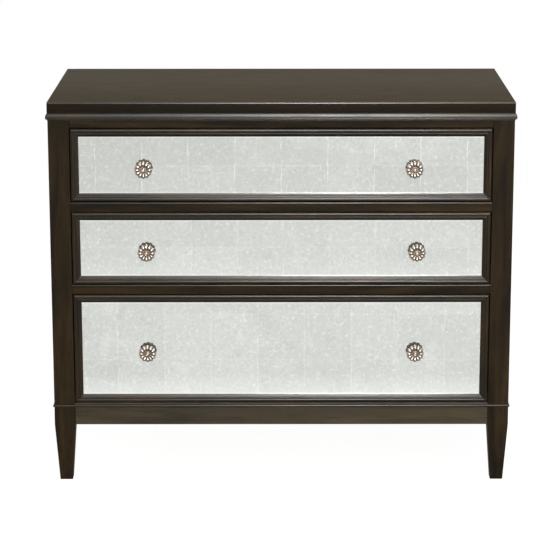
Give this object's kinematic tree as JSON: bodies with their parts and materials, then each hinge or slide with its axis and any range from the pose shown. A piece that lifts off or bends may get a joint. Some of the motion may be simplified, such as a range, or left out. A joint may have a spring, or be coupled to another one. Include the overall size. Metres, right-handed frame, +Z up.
{
  "type": "chest of drawers",
  "caption": "Low bachelor's chest on tapered square legs, with inset drawers faced in silvered panels inside mitred dark mouldings and pulled by rosette knobs.",
  "frame": {"origin": "middle of the chest's plan at floor level, with the knobs counted in the plan, so that the feet stand on Z = 0", "axes": "+X to the viewer's right along the front, -Y out of the front where the drawers open, +Z up"},
  "size_m": [0.9654, 0.4968, 0.811],
  "materials": {
    "espresso_wood": "dark espresso stain under a satin lacquer",
    "silver_leaf": "silver leaf laid in squares, lightly antiqued, under a clear glaze",
    "drawer_maple": "pale maple, clear satin lacquer",
    "plywood": "pale veneered plywood, clear sealed",
    "antique_nickel": "antiqued warm nickel plate with brown recesses"
  },
  "bodies": {
    "carcass": {"back_panel": "plywood", "base_bead_front": "espresso_wood", "base_bead_left": "espresso_wood", "base_bead_right": "espresso_wood", "drawer_1_runner_left": "drawer_maple", "drawer_1_runner_right": "drawer_maple", "drawer_2_runner_left": "drawer_maple", "drawer_2_runner_right": "drawer_maple", "drawer_3_runner_left": "drawer_maple", "drawer_3_runner_right": "drawer_maple", "front_apron": "espresso_wood", "front_left_post": "espresso_wood", "front_right_post": "espresso_wood", "left_side_panel": "espresso_wood", "lower_drawer_rail": "espresso_wood", "rear_left_post": "espresso_wood", "rear_right_post": "espresso_wood", "right_side_panel": "espresso_wood", "top_bead_front": "espresso_wood", "top_bead_left": "espresso_wood", "top_bead_right": "espresso_wood", "top_rail": "espresso_wood", "top_slab": "espresso_wood", "upper_drawer_rail": "espresso_wood"},
    "drawer_1": {"drawer_1_back": "drawer_maple", "drawer_1_bottom": "plywood", "drawer_1_front_board": "espresso_wood", "drawer_1_knob_left": "antique_nickel", "drawer_1_knob_right": "antique_nickel", "drawer_1_moulding_bottom": "espresso_wood", "drawer_1_moulding_left": "espresso_wood", "drawer_1_moulding_right": "espresso_wood", "drawer_1_moulding_top": "espresso_wood", "drawer_1_side_left": "drawer_maple", "drawer_1_side_right": "drawer_maple", "drawer_1_silver_panel": "silver_leaf"},
    "drawer_2": {"drawer_2_back": "drawer_maple", "drawer_2_bottom": "plywood", "drawer_2_front_board": "espresso_wood", "drawer_2_knob_left": "antique_nickel", "drawer_2_knob_right": "antique_nickel", "drawer_2_moulding_bottom": "espresso_wood", "drawer_2_moulding_left": "espresso_wood", "drawer_2_moulding_right": "espresso_wood", "drawer_2_moulding_top": "espresso_wood", "drawer_2_side_left": "drawer_maple", "drawer_2_side_right": "drawer_maple", "drawer_2_silver_panel": "silver_leaf"},
    "drawer_3": {"drawer_3_back": "drawer_maple", "drawer_3_bottom": "plywood", "drawer_3_front_board": "espresso_wood", "drawer_3_knob_left": "antique_nickel", "drawer_3_knob_right": "antique_nickel", "drawer_3_moulding_bottom": "espresso_wood", "drawer_3_moulding_left": "espresso_wood", "drawer_3_moulding_right": "espresso_wood", "drawer_3_moulding_top": "espresso_wood", "drawer_3_side_left": "drawer_maple", "drawer_3_side_right": "drawer_maple", "drawer_3_silver_panel": "silver_leaf"}
  },
  "joints": [
    {"name": "drawer_1_slide", "type": "slide", "parent": "carcass", "child": "drawer_1", "axis": [0, -1, 0], "range_m": [0, 0.32]},
    {"name": "drawer_2_slide", "type": "slide", "parent": "carcass", "child": "drawer_2", "axis": [0, -1, 0], "range_m": [0, 0.32]},
    {"name": "drawer_3_slide", "type": "slide", "parent": "carcass", "child": "drawer_3", "axis": [0, -1, 0], "range_m": [0, 0.32]}
  ]
}
